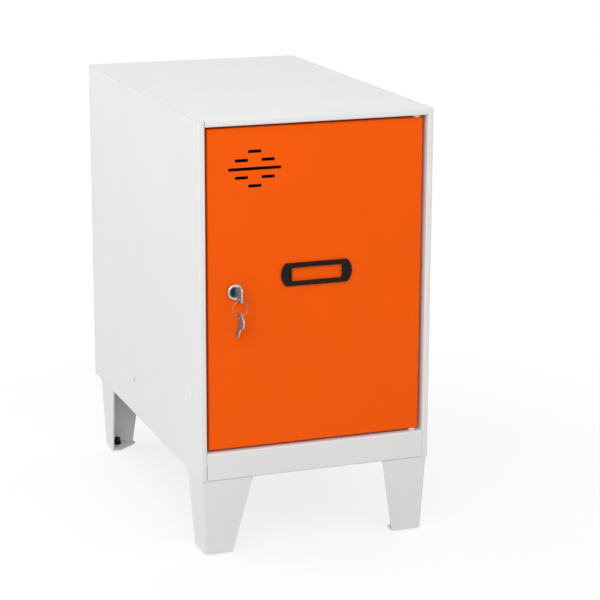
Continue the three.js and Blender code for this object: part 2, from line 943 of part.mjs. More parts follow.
// Six-sided nut that holds the barrel behind the door face
function lockNut() {
  const front = sheet + seam;
  const hexagon = turned([
    [0, front],
    [nutAcross / Math.sqrt(3), front],
    [nutAcross / Math.sqrt(3), front + nutThickness],
    [0, front + nutThickness],
  ], 6);
  const bore = drill(
    barrelRadius + seam,
    [0, front - overrun, 0],
    [0, front + nutThickness + overrun, 0],
    roundSides,
  );
  return hexagon.subtract(bore);
}

// Plug with its keyway, the square tang behind it and a hole for the cam screw
function lockPlug() {
  const body = turned([
    [0, plugFront],
    [plugRadius, plugFront],
    [plugRadius, plugEnd],
    [0, plugEnd],
  ], roundSides);
  const half = tangWidth / 2;
  const tangEnd = camBack - seam;
  const tang = block([-half, half], [plugEnd - overrun, tangEnd], [-half, half]);
  const keyway = block(
    [-keywayWidth / 2, keywayWidth / 2],
    [plugFront - overrun, keywayDepth],
    [-keywayHeight / 2, keywayHeight / 2],
  );
  const hole = drill(
    camScrewRadius + seam,
    [0, camBack - camScrewLength - seam, 0],
    [0, camBack + overrun, 0],
  );
  return without(body.add(tang), [keyway, hole]);
}

// Flat arm that turns behind the door stop
function lockCam() {
  const half = camWidth / 2;
  const arm = facing(
    roundedRectangle([-half, half], [-camReach, half], camTipCorner),
    camFront,
    camBack,
  );
  const hole = tangWidth / 2 + seam;
  return arm.subtract(block([-hole, hole], [camFront - overrun, camBack + overrun], [-hole, hole]));
}

function camScrew() {
  const face = camBack + seam;
  return turned([
    [0, camBack - camScrewLength],
    [camScrewRadius, camBack - camScrewLength],
    [camScrewRadius, face],
    ...dome(camScrewHeadRadius, face, camScrewHeadHeight),
  ], smallSides);
}

// Flat key along Y, its tip last, drawn about the axis of the plug
function keyOutline() {
  const bowBack = bowFront + bowWidth;
  const shoulder = plugFront - neckClear;
  const tip = plugFront + bladeLength;
  const neck = neckHeight / 2;
  const blade = bladeHeight / 2;
  const bow = roundedRectangle([bowFront, bowBack], [-bowHeight / 2, bowHeight / 2], bowCorner);
  const pitch = bladeLength * notchWidthShare;
  const flat = pitch * notchFlatShare;
  const start = shoulder + bladeLength * notchStartShare;
  const cuts = notchDepthShares.flatMap((share, i) => [
    [start + i * pitch, blade],
    [start + i * pitch + flat / 2, blade - notchDepth * share],
    [start + i * pitch + flat, blade - notchDepth * share],
    [start + i * pitch + flat + flat / 2, blade],
  ]);
  const shank = [
    [bowBack - bowCorner, -neck],
    [shoulder, -neck],
    [shoulder, -blade],
    [tip - blade, -blade],
    [tip, -blade * (1 - neckShare)],
    [tip - blade, blade],
    ...cuts.reverse(),
    [shoulder, blade],
    [shoulder, neck],
    [bowBack - bowCorner, neck],
  ].map(([y, z]) => new THREE.Vector2(y, z));
  return { bow, shank: new THREE.Shape(shank) };
}

function key() {
  const half = keyThickness / 2;
  const { bow, shank } = keyOutline();
  const hole = drill(
    bowHoleRadius,
    [-half - overrun, bowHoleFront, -bowHoleBelowAxis],
    [half + overrun, bowHoleFront, -bowHoleBelowAxis],
    roundSides,
  );
  return lying(bow, -half, half).add(lying(shank, -half, half)).subtract(hole);
}

function keyRing() {
  const wire = new THREE.TorusGeometry(ringRadius, wireRadius, wireSides, ringSides);
  wire.rotateX(Math.PI / 2);
  return solid(wire);
}

// The key with the centre of its bow hole at zero
function looseKey() {
  return key().translate([0, -bowHoleFront, bowHoleBelowAxis]);
}

// Spare key on the wire at the foot of the ring
function spareKey() {
  const hanging = piece('spare_key', looseKey(), zincSteel(), [0, 0, -ringRadius - spareDrop]);
  hanging.rotation.order = 'ZYX';
  hanging.rotation.z = Math.PI;
  hanging.rotation.x = THREE.MathUtils.degToRad(270 - spareTilt);
  return hanging;
}

function ringGroup() {
  const centre = -bowHoleBelowAxis - ringDrop - ringRadius;
  return group('ring_group', [0, bowHoleFront, centre], [
    piece('key_ring', keyRing(), chromeSteel()),
    spareKey(),
  ]);
}

function lockGroup() {
  return group('lock_group', [lockAcross, 0, lockUp], [
    piece('lock_housing', lockHousing(), chromeSteel()),
    piece('lock_nut', lockNut(), zincSteel()),
    piece('lock_plug', lockPlug(), chromeSteel()),
    piece('lock_cam', lockCam(), zincSteel()),
    piece('cam_screw', camScrew(), zincSteel()),
    piece('lock_key', key(), zincSteel()),
    ringGroup(),
  ]);
}

function doorGroup() {
  const over = [Math.PI, 0, 0];
  return group('door_group', [0, doorRecess, doorBottom], [
    piece('door_panel', doorPanel(), doorPaint()),
    piece('door_stiffener', doorStiffener(), doorPaint()),
    piece('label_frame', labelFrame(), blackPlastic(), [0, 0, labelUp]),
    piece('hinge_bush_lower', hingeBush(), whiteNylon(), [hingeAcross, hingeBehindFace, 0]),
    piece('hinge_bush_upper', hingeBush(), whiteNylon(), [hingeAcross, hingeBehindFace, doorHeight], over),
    lockGroup(),
  ]);
}

function hingePins() {
  const depth = doorRecess + hingeBehindFace;
  const under = [hingeAcross, depth, railHeight - sheet - seam];
  const above = [hingeAcross, depth, shelfUnder + sheet + seam];
  return [
    piece('hinge_pin_lower', hingePin(), zincSteel(), under),
    piece('hinge_pin_upper', hingePin(), zincSteel(), above, [Math.PI, 0, 0]),
  ];
}

function sideStuds(side, hand) {
  const outward = [0, 0, -hand * Math.PI / 2];
  const plugs = joinPlugDepths.map((y, i) => piece(
    `joining_plug_${side}_${i + 1}`,
    joiningPlug(),
    whiteNylon(),
    [hand * halfWidth, y, joinPlugHeight],
    outward,
  ));
  const spot = [hand * halfWidth, floorRivetDepth, floorRivetHeight];
  return [...plugs, piece(`floor_rivet_${side}`, rivet(), zincSteel(), spot, outward)];
}

function backRivets() {
  const sides = [['left', -backRivetAcross], ['right', backRivetAcross]];
  return sides.flatMap(([side, x]) => backRivetHeights.map((z, i) => piece(
    `back_rivet_${side}_${i + 1}`,
    rivet(),
    zincSteel(),
    [x, bodyDepth, z],
  )));
}

function doorBuffers() {
  const forward = [0, 0, Math.PI];
  return bufferHeights.map((z, i) => piece(
    `door_buffer_${i + 1}`,
    doorBuffer(),
    blackRubber(),
    [bufferAcross, jambDepth - sheet, z],
    forward,
  ));
}

const cabinet = group('cabinet', [0, 0, legHeight], [
  piece('side_panel_left', leftPanel(), bodyPaint()),
  piece('side_panel_right', sidePanel(1), bodyPaint()),
  piece('top_panel', topPanel(), bodyPaint()),
  piece('floor_panel', floorPanel(), bodyPaint()),
  piece('back_panel', backPanel(), bodyPaint()),
  piece('rear_cross_rail', rearCrossRail(), bodyPaint()),
  ...sideStuds('left', -1),
  ...sideStuds('right', 1),
  ...backRivets(),
  ...legPlaces.map(legGroup),
  ...hingePins(),
  ...doorBuffers(),
  doorGroup(),
]);

const locker = new THREE.Group();
locker.name = 'locker';
locker.add(cabinet);

// Stand the locker with the middle of its depth at zero
const reachBox = new THREE.Box3().setFromObject(locker, true);
cabinet.position.y = -(reachBox.min.y + reachBox.max.y) / 2;

export default locker;
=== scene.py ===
import math

import bmesh
import bpy
from mathutils import Matrix, Vector
from mathutils.geometry import tessellate_polygon


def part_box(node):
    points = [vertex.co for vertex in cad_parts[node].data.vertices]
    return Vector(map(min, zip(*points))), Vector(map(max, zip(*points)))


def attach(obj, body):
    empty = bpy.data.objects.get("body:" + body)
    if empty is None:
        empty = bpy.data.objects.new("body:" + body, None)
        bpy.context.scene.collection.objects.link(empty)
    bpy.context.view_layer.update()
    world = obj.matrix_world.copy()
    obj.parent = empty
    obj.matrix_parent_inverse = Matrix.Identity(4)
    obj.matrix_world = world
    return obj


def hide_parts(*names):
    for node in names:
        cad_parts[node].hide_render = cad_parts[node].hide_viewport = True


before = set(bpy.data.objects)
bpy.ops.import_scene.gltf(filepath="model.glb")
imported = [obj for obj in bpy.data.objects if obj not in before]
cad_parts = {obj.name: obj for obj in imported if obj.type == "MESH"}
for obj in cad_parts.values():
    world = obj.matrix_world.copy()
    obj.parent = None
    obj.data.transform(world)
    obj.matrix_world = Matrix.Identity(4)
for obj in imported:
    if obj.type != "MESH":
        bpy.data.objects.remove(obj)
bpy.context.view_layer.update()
print("frame loaded:", len(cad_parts), "nodes")

mm = 0.001
seam = 0.1 * mm       # parts that touch on the real locker lie this far apart
overrun = 1.0 * mm    # how far a cutter stands out of what it cuts
sliver = 0.001 * mm   # shorter edges are dropped after a cut
sameFlat = math.radians(0.2)    # faces of a plate become one within this angle
quarterTurn = math.pi / 2
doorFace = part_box("door_panel")[0].y          # the plane of the door's front
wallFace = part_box("side_panel_right")[1].x    # the outer face of a side, from the middle

noiseLow, noiseHigh = 0.3, 0.7    # where most values of a noise texture lie


def newFinish(name):
    finish = bpy.data.materials.new(name)
    finish.use_nodes = True
    nodes = finish.node_tree.nodes
    shader = next(n for n in nodes if n.type == "BSDF_PRINCIPLED")
    return finish, nodes, finish.node_tree.links, shader


def placeCoords(nodes, links, stretch=(1, 1, 1)):
    coords = nodes.new("ShaderNodeTexCoord")
    mapping = nodes.new("ShaderNodeMapping")
    mapping.inputs["Scale"].default_value = stretch
    links.new(coords.outputs["Object"], mapping.inputs["Vector"])
    return mapping.outputs["Vector"]


def noiseAt(nodes, links, vector, scale, detail=2.0, rough=0.5):
    noise = nodes.new("ShaderNodeTexNoise")
    noise.inputs["Scale"].default_value = scale
    noise.inputs["Detail"].default_value = detail
    noise.inputs["Roughness"].default_value = rough
    links.new(vector, noise.inputs["Vector"])
    return noise.outputs["Fac"]


def rampTo(nodes, links, factor, socket, tones):
    # the tones are spread evenly over the noise's usual values
    ramp = nodes.new("ShaderNodeValToRGB")
    band = ramp.color_ramp
    while len(band.elements) < len(tones):
        band.elements.new(0.5)
    step = (noiseHigh - noiseLow) / (len(tones) - 1)
    for i, (element, tone) in enumerate(zip(band.elements, tones)):
        element.position = noiseLow + i * step
        element.color = (*tone, 1.0)
    links.new(factor, ramp.inputs["Fac"])
    links.new(ramp.outputs["Color"], socket)


def rangeTo(nodes, links, factor, socket, low, high):
    spread = nodes.new("ShaderNodeMapRange")
    spread.inputs["From Min"].default_value = noiseLow
    spread.inputs["From Max"].default_value = noiseHigh
    spread.inputs["To Min"].default_value = low
    spread.inputs["To Max"].default_value = high
    links.new(factor, spread.inputs["Value"])
    links.new(spread.outputs["Result"], socket)


def bumpFrom(nodes, links, shader, height, strength, distance):
    bump = nodes.new("ShaderNodeBump")
    bump.inputs["Strength"].default_value = strength
    bump.inputs["Distance"].default_value = distance
    links.new(height, bump.inputs["Height"])
    links.new(bump.outputs["Normal"], shader.inputs["Normal"])


def shade(tone, share):
    return tuple(channel * share for channel in tone)


powder = {
    "mottleScale": 9.0,       # slow drift of the coat's tone, per metre
    "patchScale": 36.0,       # drift of its gloss
    "peelScale": 850.0,       # orange peel
    "speckScale": 2600.0,     # grain of the powder
    "speckShare": 0.35,       # the grain's part in the relief
    "peelStrength": 0.35,
    "peelDepth": 0.09 * mm,
    "roughLow": 0.36,
    "roughHigh": 0.47,
}


def powderCoat(name, tone, spread, shine):
    finish, nodes, links, shader = newFinish(name)
    vector = placeCoords(nodes, links)
    mottle = noiseAt(nodes, links, vector, powder["mottleScale"], detail=3.0)
    rampTo(nodes, links, mottle, shader.inputs["Base Color"],
           [shade(tone, 1 - spread), tone, shade(tone, 1 + spread)])
    patches = noiseAt(nodes, links, vector, powder["patchScale"])
    rangeTo(nodes, links, patches, shader.inputs["Roughness"],
            powder["roughLow"], powder["roughHigh"])
    peel = noiseAt(nodes, links, vector, powder["peelScale"], detail=3.0, rough=0.6)
    speck = noiseAt(nodes, links, vector, powder["speckScale"])
    blend = nodes.new("ShaderNodeMath")
    blend.operation = "MULTIPLY_ADD"
    blend.inputs[1].default_value = powder["speckShare"]
    links.new(speck, blend.inputs[0])
    links.new(peel, blend.inputs[2])
    bumpFrom(nodes, links, shader, blend.outputs["Value"],
             powder["peelStrength"], powder["peelDepth"])
    shader.inputs["Specular IOR Level"].default_value = shine
    return finish


plastic = {
    "cloudScale": 60.0,       # drift of tone and gloss, per metre
    "grainStrength": 0.4,
    "smoother": 0.05,         # how far the roughness drifts down and up
    "rougher": 0.07,
}


def moulded(name, tone, spread, rough, grainScale, grainDepth, shine=0.5):
    finish, nodes, links, shader = newFinish(name)
    vector = placeCoords(nodes, links)
    cloud = noiseAt(nodes, links, vector, plastic["cloudScale"], detail=3.0)
    rampTo(nodes, links, cloud, shader.inputs["Base Color"],
           [shade(tone, 1 - spread), shade(tone, 1 + spread)])
    rangeTo(nodes, links, cloud, shader.inputs["Roughness"],
            rough - plastic["smoother"], rough + plastic["rougher"])
    grain = noiseAt(nodes, links, vector, grainScale, detail=4.0, rough=0.6)
    bumpFrom(nodes, links, shader, grain, plastic["grainStrength"], grainDepth)
    shader.inputs["Specular IOR Level"].default_value = shine
    return finish


plating = {
    "cloudScale": 120.0,      # drift of the tone, per metre
    "grainScale": 900.0,      # drawn or barrelled grain
    "grainStrength": 0.25,
    "grainDepth": 0.03 * mm,
    "smoothShare": 0.8,       # roughness between and on the grain
    "roughShare": 1.25,
}


def plated(name, tone, spread, rough, stretch=(1, 1, 1), metal=1.0):
    finish, nodes, links, shader = newFinish(name)
    vector = placeCoords(nodes, links, stretch)
    grain = noiseAt(nodes, links, vector, plating["grainScale"], detail=5.0, rough=0.65)
    cloud = noiseAt(nodes, links, vector, plating["cloudScale"])
    rampTo(nodes, links, cloud, shader.inputs["Base Color"], [shade(tone, 1 - spread), tone])
    rangeTo(nodes, links, grain, shader.inputs["Roughness"],
            rough * plating["smoothShare"], rough * plating["roughShare"])
    bumpFrom(nodes, links, shader, grain, plating["grainStrength"], plating["grainDepth"])
    shader.inputs["Metallic"].default_value = metal
    return finish


def paintedShadeOnBroadSides(finish, shadeTint):
    # painted shade: the flat sides of a key, which face along X, get a darker, cooler base colour
    # than its stamped edges, a painted dark reflection on the metal
    nodes, links = finish.node_tree.nodes, finish.node_tree.links
    shader = next(n for n in nodes if n.type == "BSDF_PRINCIPLED")
    ramp = next(n for n in nodes if n.type == "VALTORGB")
    coords = nodes.new("ShaderNodeTexCoord")
    split = nodes.new("ShaderNodeSeparateXYZ")
    links.new(coords.outputs["Normal"], split.inputs["Vector"])
    flat = nodes.new("ShaderNodeMath")
    flat.operation = "ABSOLUTE"
    links.new(split.outputs["X"], flat.inputs[0])
    paintedShade = nodes.new("ShaderNodeMix")
    paintedShade.data_type = "RGBA"
    paintedShade.blend_type = "MULTIPLY"
    links.new(flat.outputs["Value"], paintedShade.inputs["Factor"])
    links.new(ramp.outputs["Color"], paintedShade.inputs["A"])
    paintedShade.inputs["B"].default_value = (*shadeTint, 1.0)
    links.new(paintedShade.outputs["Result"], shader.inputs["Base Color"])
    return finish


finishes = {
    "body_paint": powderCoat("body_paint", (0.79, 0.79, 0.787), spread=0.012, shine=0.3),
    "door_paint": powderCoat("door_paint", (0.93, 0.108, 0.0028), spread=0.015, shine=0.05),
    # near black is the plastic's own tone; its warm brown tint is a painted reflection of the
    # orange door
    "black_plastic": moulded("black_plastic", (0.007, 0.004, 0.003), spread=0.12, rough=0.16,
                             grainScale=1400.0, grainDepth=0.03 * mm, shine=0.17),
    "white_nylon": moulded("white_nylon", (0.86, 0.86, 0.83), spread=0.03, rough=0.42,
                           grainScale=900.0, grainDepth=0.04 * mm),
    "black_rubber": moulded("black_rubber", (0.018, 0.018, 0.018), spread=0.12, rough=0.75,
                            grainScale=700.0, grainDepth=0.1 * mm),
    "zinc_steel": plated("zinc_steel", (0.62, 0.63, 0.63), spread=0.08, rough=0.30,
                         stretch=(1, 1, 6)),
    "chrome": plated("chrome", (0.60, 0.61, 0.62), spread=0.04, rough=0.14),
    # the plug's dark blue-grey base colour is painted shade and painted dark reflection, not the
    # nickel's own tone
    "nickel_with_painted_shade": plated("nickel_with_painted_shade", (0.085, 0.095, 0.115), spread=0.25, rough=0.22),
    # the key's flat sides carry painted shade in their base colour
    "key_nickel": paintedShadeOnBroadSides(
        plated("key_nickel", (0.60, 0.61, 0.60), spread=0.25, rough=0.34, stretch=(1, 6, 1),
               metal=0.7),
        shadeTint=(0.40, 0.56, 0.60)),
    # the wire's dark, warm base colour is a painted reflection of the orange door, not the steel's
    # own tone
    "ring_wire_painted_reflection": plated("ring_wire_painted_reflection", (0.33, 0.27, 0.22), spread=0.15, rough=0.20),
}
print("finishes made")


def settle(name, mesh, body, slot, *nodes, finish=None):
    piece = bpy.data.objects.new(name, mesh)
    bpy.context.scene.collection.objects.link(piece)
    piece.data.materials.clear()
    piece.data.materials.append(finishes[finish or slot])
    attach(piece, body)
    if nodes:
        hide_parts(*nodes)
    return piece


def rounded(piece, width, segments=2, angle=50):
    edge = piece.modifiers.new("edge", "BEVEL")
    edge.width = width
    edge.segments = segments
    edge.limit_method = "ANGLE"
    edge.angle_limit = math.radians(angle)
    edge.harden_normals = False
    flat = piece.modifiers.new("flat", "WEIGHTED_NORMAL")
    flat.keep_sharp = True
    flat.weight = 80
    return piece


def smoothAll(mesh):
    for polygon in mesh.polygons:
        polygon.use_smooth = True


def finishedMesh(work, name):
    mesh = bpy.data.meshes.new(name)
    work.to_mesh(mesh)
    work.free()
    smoothAll(mesh)
    return mesh


def turnedMesh(name, profile, sides=64, upright=False):
    # the profile's points are (radius, place along the axis) and close on themselves
    work = bmesh.new()
    rings = []
    for radius, place in profile:
        if radius == 0:
            rings.append([work.verts.new((0, place, 0))])
            continue
        ring = []
        for i in range(sides):
            angle = 2 * math.pi * i / sides
            spot = (radius * math.cos(angle), place, radius * math.sin(angle))
            ring.append(work.verts.new(spot))
        rings.append(ring)
    for lower, upper in zip(rings, rings[1:] + rings[:1]):
        if len(lower) == 1 and len(upper) == 1:
            continue
        for i in range(sides):
            j = (i + 1) % sides
            if len(lower) == 1:
                work.faces.new((lower[0], upper[i], upper[j]))
            elif len(upper) == 1:
                work.faces.new((lower[j], lower[i], upper[0]))
            else:
                work.faces.new((lower[j], lower[i], upper[i], upper[j]))
    bmesh.ops.recalc_face_normals(work, faces=work.faces)
    mesh = finishedMesh(work, name)
    if upright:
        mesh.transform(Matrix.Rotation(quarterTurn, 4, "X"))
    return mesh


def softCorners(points, radius, steps=4, reachShare=0.45):
    # rounds every corner of an open profile by the same small radius
    made = [points[0]]
    for before, corner, after in zip(points, points[1:], points[2:]):
        here = Vector(corner)
        back = Vector(before) - here
        ahead = Vector(after) - here
        reach = min(radius, back.length * reachShare, ahead.length * reachShare)
        start = here + back.normalized() * reach
        end = here + ahead.normalized() * reach
        for step in range(steps + 1):
            share = step / steps
            curve = start * (1 - share) ** 2 + here * 2 * share * (1 - share) + end * share ** 2
            made.append(tuple(curve))
    made.append(points[-1])
    return made


planes = {    # from the plane that an outline is drawn in to the plane of the piece
    "XY": Matrix.Identity(4),
    "XZ": Matrix(((1, 0, 0, 0), (0, 0, 1, 0), (0, 1, 0, 0), (0, 0, 0, 1))),
    "YZ": Matrix(((0, 0, 1, 0), (1, 0, 0, 0), (0, 1, 0, 0), (0, 0, 0, 1))),
}


def plateMesh(name, loops, low, high, plane="XZ"):
    # flat piece from an outline and its holes, between two planes
    work = bmesh.new()
    flat = [[Vector((x, y, 0)) for x, y in loop] for loop in loops]
    points = [point for loop in flat for point in loop]
    lower = [work.verts.new((p.x, p.y, low)) for p in points]
    upper = [work.verts.new((p.x, p.y, high)) for p in points]
    for a, b, c in tessellate_polygon(flat):
        work.faces.new((lower[a], lower[b], lower[c]))
        work.faces.new((upper[c], upper[b], upper[a]))
    start = 0
    for loop in loops:
        count = len(loop)
        for i in range(count):
            a, b = start + i, start + (i + 1) % count
            work.faces.new((lower[a], lower[b], upper[b], upper[a]))
        start += count
    bmesh.ops.recalc_face_normals(work, faces=work.faces)
    bmesh.ops.dissolve_limit(work, angle_limit=sameFlat, verts=work.verts, edges=work.edges)
    mesh = finishedMesh(work, name)
    mesh.transform(planes[plane])
    if plane == "XZ":
        mesh.flip_normals()    # this plane's matrix mirrors
    return mesh


def arc(cx, cy, radius, start, end, steps):
    points = []
    for i in range(steps + 1):
        angle = math.radians(start + (end - start) * i / steps)
        points.append((cx + radius * math.cos(angle), cy + radius * math.sin(angle)))
    return points


def roundedBox(width, height, radius, steps=8, cx=0.0, cy=0.0):
    x, y = width / 2 - radius, height / 2 - radius
    points = []
    for quarter, (across, up) in enumerate(((1, 1), (-1, 1), (-1, -1), (1, -1))):
        start = 90 * quarter
        points += arc(cx + across * x, cy + up * y, radius, start, start + 90, steps)
    return points


def ringOf(radius, sides=48, cx=0.0, cy=0.0):
    return arc(cx, cy, radius, 0, 360 - 360 / sides, sides - 1)


def joinedMesh(name, meshes):
    work = bmesh.new()
    for mesh in meshes:
        work.from_mesh(mesh)
    return finishedMesh(work, name)


def carved(mesh, cutters):
    # takes the cutters out of a closed mesh and keeps the result as plain mesh
    holder = bpy.data.objects.new("carving", mesh)
    bpy.context.scene.collection.objects.link(holder)
    tools = []
    for cutter in cutters:
        tool = bpy.data.objects.new("tool", cutter)
        bpy.context.scene.collection.objects.link(tool)
        cut = holder.modifiers.new("cut", "BOOLEAN")
        cut.operation = "DIFFERENCE"
        cut.solver = "EXACT"
        cut.object = tool
        tools.append(tool)
    graph = bpy.context.evaluated_depsgraph_get()
    result = bpy.data.meshes.new_from_object(holder.evaluated_get(graph))
    for extra in [holder, *tools]:
        bpy.data.objects.remove(extra)
    work = bmesh.new()
    work.from_mesh(result)
    bmesh.ops.dissolve_degenerate(work, dist=sliver, edges=work.edges)
    work.to_mesh(result)
    work.free()
    smoothAll(result)
    return result


def moved(mesh, place, turn=None):
    copy = mesh.copy()
    matrix = Matrix.Translation(Vector(place))
    if turn is not None:
        matrix = matrix @ turn
    copy.transform(matrix)
    return copy


def middleOf(node):
    low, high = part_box(node)
    return (low + high) / 2


sheetShape = {
    "edge": 0.16 * mm,
    "legEdge": 0.3 * mm,
    "doorEdge": 0.14 * mm,
    "weld": 0.004 * mm,    # points nearer than this become one
    "flatWithin": 0.4,     # faces become one within this angle, in degrees
}


def dressedSheet(node, body, slot, edge=sheetShape["edge"]):
    # a folded sheet keeps the frame's form and gets eased edges and even shading
    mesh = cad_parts[node].data.copy()
    work = bmesh.new()
    work.from_mesh(mesh)
    bmesh.ops.remove_doubles(work, verts=work.verts, dist=sheetShape["weld"])
    bmesh.ops.dissolve_limit(work, angle_limit=math.radians(sheetShape["flatWithin"]),
                             verts=work.verts, edges=work.edges)
    work.to_mesh(mesh)
    work.free()
    smoothAll(mesh)
    rounded(settle(node + "_sheet", mesh, body, slot, node), edge)


for name in ("side_panel_left", "side_panel_right", "top_panel", "floor_panel", "back_panel",
             "rear_cross_rail"):
    dressedSheet(name, "cabinet", "body_paint")
corners = ("front_left", "front_right", "rear_left", "rear_right")
for corner in corners:
    dressedSheet("leg_" + corner, "cabinet", "body_paint", sheetShape["legEdge"])
print("cabinet sheets dressed")

rivetShape = {
    "headRadius": 3.0 * mm,
    "headHeight": 0.9 * mm,
    "dimpleRadius": 0.95 * mm,
    "dimpleDepth": 0.5 * mm,
    "shankRadius": 1.6 * mm,
    "tailRadius": 2.4 * mm,
    "grip": 2.1 * mm,
    "tailHeight": 1.4 * mm,
}


def rivetMesh():
    r = rivetShape
    top = seam + r["headHeight"]
    tail = -r["grip"] - seam
    body = [
        (0.0, tail - r["tailHeight"]),
        (r["tailRadius"] * 0.7, tail - r["tailHeight"] * 0.85),
        (r["tailRadius"], tail - r["tailHeight"] * 0.4),
        (r["tailRadius"] * 0.95, tail),
        (r["shankRadius"], tail),
        (r["shankRadius"], seam),
    ]
    head = []
    for degrees in range(0, 72, 9):
        angle = math.radians(degrees)
        head.append((r["headRadius"] * math.cos(angle), seam + r["headHeight"] * math.sin(angle)))
    dimple = [
        (r["dimpleRadius"], top),
        (r["dimpleRadius"] * 0.9, top - r["dimpleDepth"]),
        (0.0, top - r["dimpleDepth"] * 0.8),
    ]
    return turnedMesh("rivet", body + head + dimple, 36)


plugShape = {
    "headRadius": 3.0 * mm,
    "headHeight": 0.6 * mm,
    "rim": 0.35 * mm,
    "stemRadius": 2.4 * mm,
    "grip": 1.0 * mm,
    "barbRadius": 2.8 * mm,
    "barbHeight": 1.6 * mm,
}


def joiningPlugMesh():
    p = plugShape
    tail = -p["grip"] - seam
    top = seam + p["headHeight"]
    return turnedMesh("joining_plug", [
        (0.0, tail - p["barbHeight"]),
        (p["barbRadius"] * 0.75, tail - p["barbHeight"]),
        (p["barbRadius"], tail - p["barbHeight"] * 0.4),
        (p["barbRadius"], tail),
        (p["stemRadius"], tail),
        (p["stemRadius"], seam),
        (p["headRadius"], seam),
        (p["headRadius"] * 0.99, seam + p["headHeight"] * 0.45),
        (p["headRadius"] - p["rim"], top - p["headHeight"] * 0.12),
        (p["headRadius"] - p["rim"] * 2.4, top),
        (0.0, top - p["headHeight"] * 0.1),
    ], 40)


rivetForm = rivetMesh()
joiningPlugForm = joiningPlugMesh()
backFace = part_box("back_panel")[1].y
for side, hand in (("left", -1), ("right", 1)):
    outward = Matrix.Rotation(-hand * quarterTurn, 4, "Z")
    for i in (1, 2):
        node = f"joining_plug_{side}_{i}"
        centre = middleOf(node)
        cap = moved(joiningPlugForm, (hand * wallFace, centre.y, centre.z), outward)
        settle(node + "_cap", cap, "cabinet", "white_nylon", node)
    node = "floor_rivet_" + side
    centre = middleOf(node)
    head = moved(rivetForm, (hand * wallFace, centre.y, centre.z), outward)
    settle(node + "_head", head, "cabinet", "zinc_steel", node)
    for i in (1, 2, 3):
        node = f"back_rivet_{side}_{i}"
        centre = middleOf(node)
        head = moved(rivetForm, (centre.x, backFace, centre.z))
        settle(node + "_head", head, "cabinet", "zinc_steel", node)
print("rivets and plugs set")

glideShape = {
    "flangeRadius": 9.0 * mm,
    "flangeHeight": 1.4 * mm,
    "stemRadius": 4.0 * mm,
    "plateTop": 3.6 * mm,
    "stubRadius": 5.0 * mm,
    "stubHeight": 10.0 * mm,
    "stubTaper": 0.8 * mm,
    "ease": 0.25 * mm,
}


def glideMesh():
    g = glideShape
    top = g["plateTop"] + g["stubHeight"]
    return turnedMesh("glide", softCorners([
        (0.0, 0.0),
        (g["flangeRadius"] * 0.93, 0.0),
        (g["flangeRadius"], g["flangeHeight"] * 0.5),
        (g["flangeRadius"], g["flangeHeight"]),
        (g["stemRadius"], g["flangeHeight"]),
        (g["stemRadius"], g["plateTop"]),
        (g["stubRadius"], g["plateTop"]),
        (g["stubRadius"], g["plateTop"] + g["stubHeight"] * 0.45),
        (g["stubRadius"] * 0.86, g["plateTop"] + g["stubHeight"] * 0.5),
        (g["stubRadius"] * 0.86, top - g["stubTaper"]),
        (g["stubRadius"] * 0.6, top),
        (0.0, top),
    ], g["ease"], 3), 64, upright=True)


screwShape = {
    "headRadius": 4.5 * mm,
    "headHeight": 3.0 * mm,
    "domeShare": 0.75,           # how much of the head's height is domed
    "rim": 0.1 * mm,
    "crossLength": 4.6 * mm,
    "crossWidth": 1.0 * mm,
    "crossDepth": 1.8 * mm,
    "shankRadius": 2.4 * mm,
    "threadDepth": 0.35 * mm,
    "threadPitch": 0.9 * mm,
    "length": 6.2 * mm,
}


def screwMesh(s):
    # head below zero, threaded shank above it
    head = [(0.0, -s["headHeight"])]
    for degrees in range(12, 91, 13):
        angle = math.radians(degrees)
        bottom = -s["headHeight"] * (s["domeShare"] * math.cos(angle) + 1 - s["domeShare"])
        head.append((s["headRadius"] * math.sin(angle), bottom))
    head += [(s["headRadius"], -s["rim"]), (s["headRadius"] * 0.97, 0.0)]
    shank = []
    height = 0.0
    while height < s["length"] - s["threadPitch"]:
        shank.append((s["shankRadius"] - s["threadDepth"], height))
        shank.append((s["shankRadius"], height + s["threadPitch"] / 2))
        height += s["threadPitch"]
    shank += [(s["shankRadius"] * 0.5, s["length"]), (0.0, s["length"])]
    body = turnedMesh("screw", head + shank, 40, upright=True)
    thin, long = s["crossWidth"], s["crossLength"]
    bars = []
    for width, length in ((thin, long), (long, thin)):
        outline = roundedBox(width, length, thin * 0.3, 2)
        bars.append(plateMesh("bar", [outline], -s["headHeight"] - overrun,
                              -s["headHeight"] + s["crossDepth"], "XY"))
    return carved(body, bars)


screwTwist = {"perScrew": 37, "perLetter": 20}    # degrees, so that no two crosses stand alike
glideForm = glideMesh()
screwForm = screwMesh(screwShape)
for corner in corners:
    node = "glide_" + corner
    centre = middleOf(node)
    foot = moved(glideForm, (centre.x, centre.y, 0.0))
    settle(node + "_foot", foot, "cabinet", "black_plastic", node)
    for i in (1, 2):
        node = f"leg_screw_{corner}_{i}"
        centre = middleOf(node)
        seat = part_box(node)[0].z + screwShape["headHeight"]
        degrees = screwTwist["perScrew"] * i + screwTwist["perLetter"] * len(corner)
        twist = Matrix.Rotation(math.radians(degrees), 4, "Z")
        screw = moved(screwForm, (centre.x, centre.y, seat), twist)
        settle(node + "_cross", screw, "cabinet", "zinc_steel", node)
print("glides and screws set")

pinShape = {
    "radius": 2.0 * mm,
    "headRadius": 3.5 * mm,
    "headHeight": 1.5 * mm,
    "tipLength": 0.8 * mm,
    "ease": 0.3 * mm,
}


def hingePinMesh(length):
    p = pinShape
    return turnedMesh("hinge_pin", softCorners([
        (0.0, -p["headHeight"]),
        (p["headRadius"], -p["headHeight"]),
        (p["headRadius"], 0.0),
        (p["radius"], 0.0),
        (p["radius"], length - p["tipLength"]),
        (p["radius"] * 0.6, length),
        (0.0, length),
    ], p["ease"], 3), 48, upright=True)


